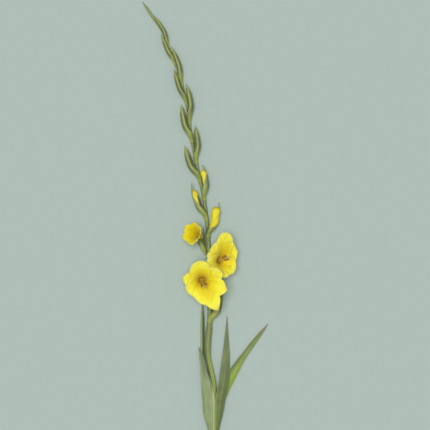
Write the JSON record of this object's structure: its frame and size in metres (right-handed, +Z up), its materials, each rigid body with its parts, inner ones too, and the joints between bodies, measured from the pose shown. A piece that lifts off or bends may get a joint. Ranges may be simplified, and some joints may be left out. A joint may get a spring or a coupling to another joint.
{
  "type": "cut gladiolus stem",
  "caption": "Cut yellow gladiolus lying on its side: a leafy stem with open flowers facing up, opening buds and closed green buds towards a bent tip.",
  "frame": {"origin": "under the middle of the bounding box, on the surface that the stem lies on", "axes": "+Y along the stem towards the tip of the spike, +Z up away from the surface, the way the flowers face, +X to the right"},
  "size_m": [0.2518, 0.9964, 0.0719],
  "materials": {
    "stem": "fresh green plant stem, satin, finely ribbed lengthwise",
    "leaf": "fresh green leaf blade, waxy, with parallel veins and a dry brownish tip",
    "bract": "green flower bract, waxy, with parallel veins and a pale brownish edge",
    "closed_bud": "closed green flower bud in its bracts, waxy, with parallel veins",
    "bud": "rolled yellow petals, soft and satin",
    "petal": "clear yellow petal, soft and satin, deeper yellow towards the throat",
    "tube": "greenish to deep yellow flower tube, soft and satin",
    "stamen": "pale yellow filament with a matt ochre anther",
    "pistil": "pale greenish yellow style with three branches"
  },
  "bodies": {
    "root": {"centre_leaf": "leaf", "floret_10_bud": "closed_bud", "floret_11_bud": "closed_bud", "floret_12_bud": "closed_bud", "floret_13_bud": "closed_bud", "floret_14_bud": "closed_bud", "floret_15_bud": "closed_bud", "floret_1_bud": "bud", "floret_1_inner_bract": "bract", "floret_1_outer_bract": "bract", "floret_2_inner_bract": "bract", "floret_2_lower_left_petal": "petal", "floret_2_lower_petal": "petal", "floret_2_lower_right_petal": "petal", "floret_2_outer_bract": "bract", "floret_2_pistil": "pistil", "floret_2_stamen_1": "stamen", "floret_2_stamen_2": "stamen", "floret_2_stamen_3": "stamen", "floret_2_tube": "tube", "floret_2_upper_left_petal": "petal", "floret_2_upper_petal": "petal", "floret_2_upper_right_petal": "petal", "floret_3_inner_bract": "bract", "floret_3_lower_left_petal": "petal", "floret_3_lower_petal": "petal", "floret_3_lower_right_petal": "petal", "floret_3_outer_bract": "bract", "floret_3_pistil": "pistil", "floret_3_stamen_1": "stamen", "floret_3_stamen_2": "stamen", "floret_3_stamen_3": "stamen", "floret_3_tube": "tube", "floret_3_upper_left_petal": "petal", "floret_3_upper_petal": "petal", "floret_3_upper_right_petal": "petal", "floret_4_inner_bract": "bract", "floret_4_lower_left_petal": "petal", "floret_4_lower_petal": "petal", "floret_4_lower_right_petal": "petal", "floret_4_outer_bract": "bract", "floret_4_tube": "tube", "floret_4_upper_left_petal": "petal", "floret_4_upper_petal": "petal", "floret_4_upper_right_petal": "petal", "floret_5_bud": "bud", "floret_5_inner_bract": "bract", "floret_5_outer_bract": "bract", "floret_6_bud": "bud", "floret_6_inner_bract": "bract", "floret_6_outer_bract": "bract", "floret_7_bud": "bud", "floret_7_inner_bract": "bract", "floret_7_outer_bract": "bract", "floret_8_bud": "closed_bud", "floret_9_bud": "closed_bud", "left_leaf": "leaf", "right_leaf": "leaf", "stem": "stem", "tall_leaf": "leaf"}
  },
  "joints": []
}
